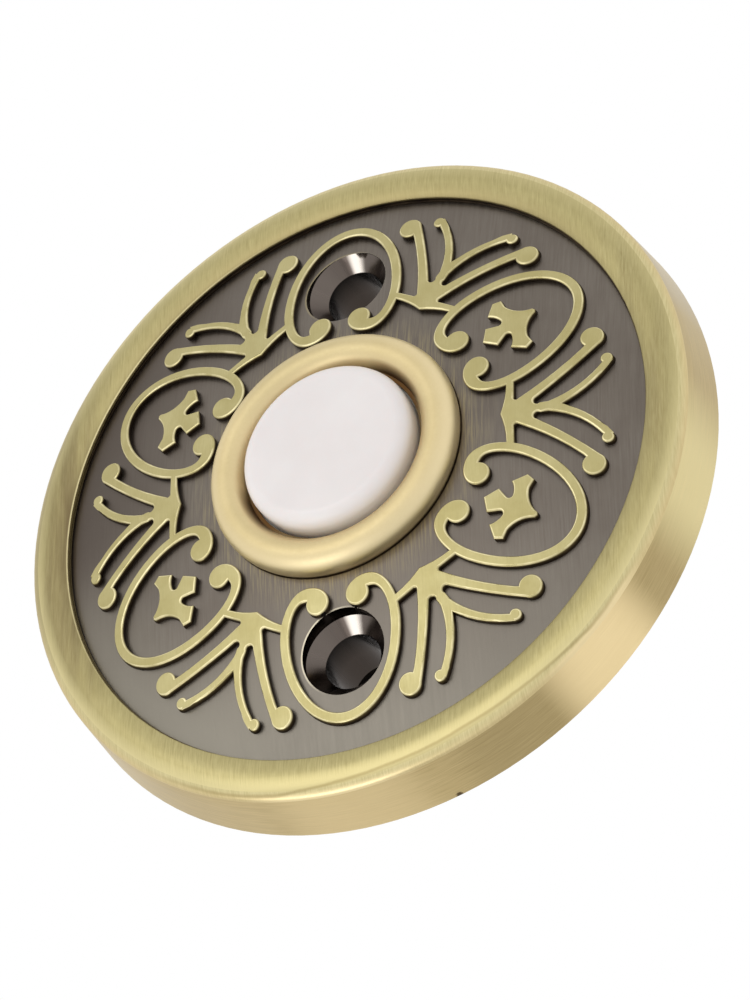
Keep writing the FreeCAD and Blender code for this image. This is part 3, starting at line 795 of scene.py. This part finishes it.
def round_rings(form):
    """Rounds the rim's outer corner and its inner edge."""
    rim = [face for face in form.faces if face.material_index in (RIM, SIDE)]
    bmesh.ops.join_triangles(form, faces=rim, angle_face_threshold=FLAT_ANGLE,
                             angle_shape_threshold=math.pi)
    for radius, height, width, finish in (
            (LIP_RADIUS, CORNER_HEIGHT, CORNER_ROUND, CORNER),
            (SHOULDER_RADIUS, SHOULDER_HEIGHT - ROLL_DROP, CORNER_ROUND, CORNER),
            (FACE_RADIUS, RIM_DEPTH, INNER_EDGE_ROUND, RIM)):
        ring = [edge for edge in form.edges
                if all(near(radius_of(vert.co), radius) and near(-vert.co.y, height)
                       for vert in edge.verts)]
        round_edges(form, ring, width, 3, finish)
    form.normal_update()
    for face in form.faces:
        middle = face.calc_center_median()
        inside = SHOULDER_RADIUS < radius_of(middle) < LIP_RADIUS
        if inside and CORNER_HEIGHT < -middle.y < SHOULDER_HEIGHT and face.material_index == RIM:
            face.material_index = CORNER


def follow_dome(mesh):
    """Gives the faces that lie on the dome its own normals, whatever their triangles."""
    normals = [Vector(corner.vector) for corner in mesh.corner_normals]
    for face in mesh.polygons:
        for corner in face.loop_indices:
            point = mesh.vertices[mesh.loops[corner].vertex_index].co
            if face.material_index in (RELIEF, FIELD) or (
                    face.material_index == EDGE and near(dome_distance(point), RELIEF_RADIUS)):
                normals[corner] = (point - DOME_CENTRE).normalized()
    mesh.normals_split_custom_set(normals)


def plate():
    form = from_node("escutcheon_plate")
    form.normal_update()
    for face in form.faces:
        face.material_index = region_of(face)
    soften_relief(form)
    bevel_lips(form)
    roll_rim(form)
    round_rings(form)
    finishes = [brushed_rim(), brushed_side(), relief_brass(), worn_and_highlit_brass(), darkened_field(),
                darkened_wall(), black_nickel(), cast_back(), rolled_corner(), rubbed_lip()]
    piece = finish_piece(form, "dressed_plate", finishes, "plate_assembly", "escutcheon_plate",
                         SHARP_ANGLE)
    follow_dome(piece.data)


# The return spring, smooth-shaded on a mesh of its own.


def coil(steel):
    piece = finish_piece(from_node("return_spring"), "coil_spring", [steel], "plate_assembly",
                         "return_spring", WIRE_SHARP_ANGLE)
    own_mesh(piece)


# Finishes of the other pieces.


def dress(material, *names):
    for name in names:
        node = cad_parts[name]
        node.data.materials.clear()
        node.data.materials.append(material)


def pair(name):
    return [f"{name}_left", f"{name}_right"]


def dress_nodes():
    dress(satin_bezel(), "bezel_ring")
    dress(pearl_cap(), "push_cap")
    brass = turned_metal("turned_brass", (170, 138, 82), (206, 174, 110), 0.3)
    dress(brass, "ring_nut", "contact_bridge", *pair("contact_strip"), *pair("contact_rivet"),
          *pair("terminal_screw"), *pair("clamp_washer"), *pair("terminal_nut"))
    steel = turned_metal("spring_steel", (120, 120, 122), (168, 168, 170), 0.3)
    dress(steel, "lock_washer", "bridge_clip")
    coil(steel)
    plated = turned_metal("plated_steel", (150, 148, 142), (196, 194, 186), 0.26)
    dress(plated, *pair("base_screw"))
    dress(moulding("white_moulding", (206, 202, 190), (216, 213, 202), 0.5), "plunger")
    dress(moulding("black_moulding", (26, 25, 25), (34, 33, 33), 0.46), "switch_housing")
    dress(laminate(), "base_plate")


# Camera, lights, surround and floor.


def camera():
    data = bpy.data.cameras.new("photo_camera")
    data.lens = CAMERA_LENS
    data.sensor_width = CAMERA_SENSOR
    data.clip_start = CAMERA_NEAR
    data.clip_end = CAMERA_FAR
    holder = bpy.data.objects.new("photo_camera", data)
    back = -CAMERA_FORWARD.normalized()
    right = CAMERA_UP.cross(back).normalized()
    up = back.cross(right)
    turn = Matrix((right, up, back)).transposed().to_4x4()
    holder.matrix_world = Matrix.Translation(CAMERA_PLACE) @ turn
    bpy.context.scene.collection.objects.link(holder)
    bpy.context.scene.camera = holder


def soft_light(name, place, size, power):
    """Square soft box that faces the push."""
    data = bpy.data.lights.new(name, "AREA")
    data.shape = "SQUARE"
    data.size = size
    data.energy = power
    lamp = bpy.data.objects.new(name, data)
    lamp.location = place
    lamp.rotation_mode = "QUATERNION"
    lamp.rotation_quaternion = (-Vector(place)).to_track_quat("-Z", "Y")
    bpy.context.scene.collection.objects.link(lamp)


def white_surround():
    """Even white background, with a softer level for the light that it gives."""
    world = bpy.data.worlds.new("white_surround")
    bpy.context.scene.world = world
    world.use_nodes = True
    nodes = Nodes(world.node_tree)
    path = nodes.add("ShaderNodeLightPath").outputs
    seen = nodes.larger(nodes.larger(path["Is Camera Ray"], path["Is Transmission Ray"]),
                        path["Is Glossy Ray"])
    shader = world.node_tree.nodes["Background"]
    nodes.join(WHITE, shader.inputs["Color"])
    nodes.join(nodes.ramp(seen, 0, 1, SOFTER_LEVEL, 1.0), shader.inputs["Strength"])


def stage_piece(form, name, surface):
    """Piece of the surround, with a surface that a function makes from its nodes."""
    mesh = bpy.data.meshes.new(name)
    form.to_mesh(mesh)
    form.free()
    material = bpy.data.materials.new(name)
    material.use_nodes = True
    nodes = Nodes(material.node_tree)
    nodes.tree.nodes.remove(nodes.tree.nodes["Principled BSDF"])
    nodes.join(surface(nodes), nodes.tree.nodes["Material Output"].inputs["Surface"])
    mesh.materials.append(material)
    piece = bpy.data.objects.new(name, mesh)
    bpy.context.scene.collection.objects.link(piece)
    return piece


def floor_surface(nodes):
    """Matt pale surface that shows in metal as white as the surround."""
    matt = nodes.add("ShaderNodeBsdfDiffuse", {"Color": FLOOR_COLOUR}).outputs[0]
    white = nodes.add("ShaderNodeEmission", {"Color": WHITE, "Strength": 1.0}).outputs[0]
    mirrored = nodes.add("ShaderNodeLightPath").outputs["Is Glossy Ray"]
    return nodes.add("ShaderNodeMixShader", {0: mirrored, 1: matt, 2: white}).outputs[0]


def hole_shade_surface(nodes):
    """Painted shade: dark surface that only the camera sees, and only from the front."""
    front = nodes.minus(1.0, nodes.add("ShaderNodeNewGeometry").outputs["Backfacing"])
    seen = nodes.times(front, nodes.add("ShaderNodeLightPath").outputs["Is Camera Ray"])
    dark = nodes.add("ShaderNodeBsdfDiffuse", {"Color": HOLE_SHADE_COLOUR}).outputs[0]
    clear = nodes.add("ShaderNodeBsdfTransparent").outputs[0]
    return nodes.add("ShaderNodeMixShader", {0: seen, 1: clear, 2: dark}).outputs[0]


def floor():
    """Plain pale floor under the wall-mounted push."""
    form = bmesh.new()
    bmesh.ops.create_grid(form, x_segments=1, y_segments=1, size=FLOOR_SIZE / 2)
    bmesh.ops.translate(form, verts=form.verts, vec=(0, 0, FLOOR_HEIGHT))
    ground = stage_piece(form, "pale_floor", floor_surface)


def hole_shade_discs():
    """Painted shade: dark discs just behind the two screw holes, standing in for the shade inside
    them.
    """
    form = bmesh.new()
    upright = Matrix.Rotation(math.radians(90), 4, "X")
    for up in (HOLE_OFFSET, -HOLE_OFFSET):
        spot = Matrix.Translation((0, HOLE_SHADE_GAP, up)) @ upright
        bmesh.ops.create_circle(form, cap_ends=True, segments=32, radius=HOLE_SHADE_RADIUS,
                                matrix=spot)
    shade_discs = stage_piece(form, "hole_shade_discs", hole_shade_surface)


plate()
dress_nodes()
camera()
white_surround()
floor()
hole_shade_discs()
soft_light("front_light", place=(-0.36, -0.92, 0.2), size=0.5, power=0.85)
soft_light("low_light", place=(-0.25, -0.3, -0.45), size=0.35, power=0.6)
bpy.context.scene.view_settings.view_transform = "Standard"
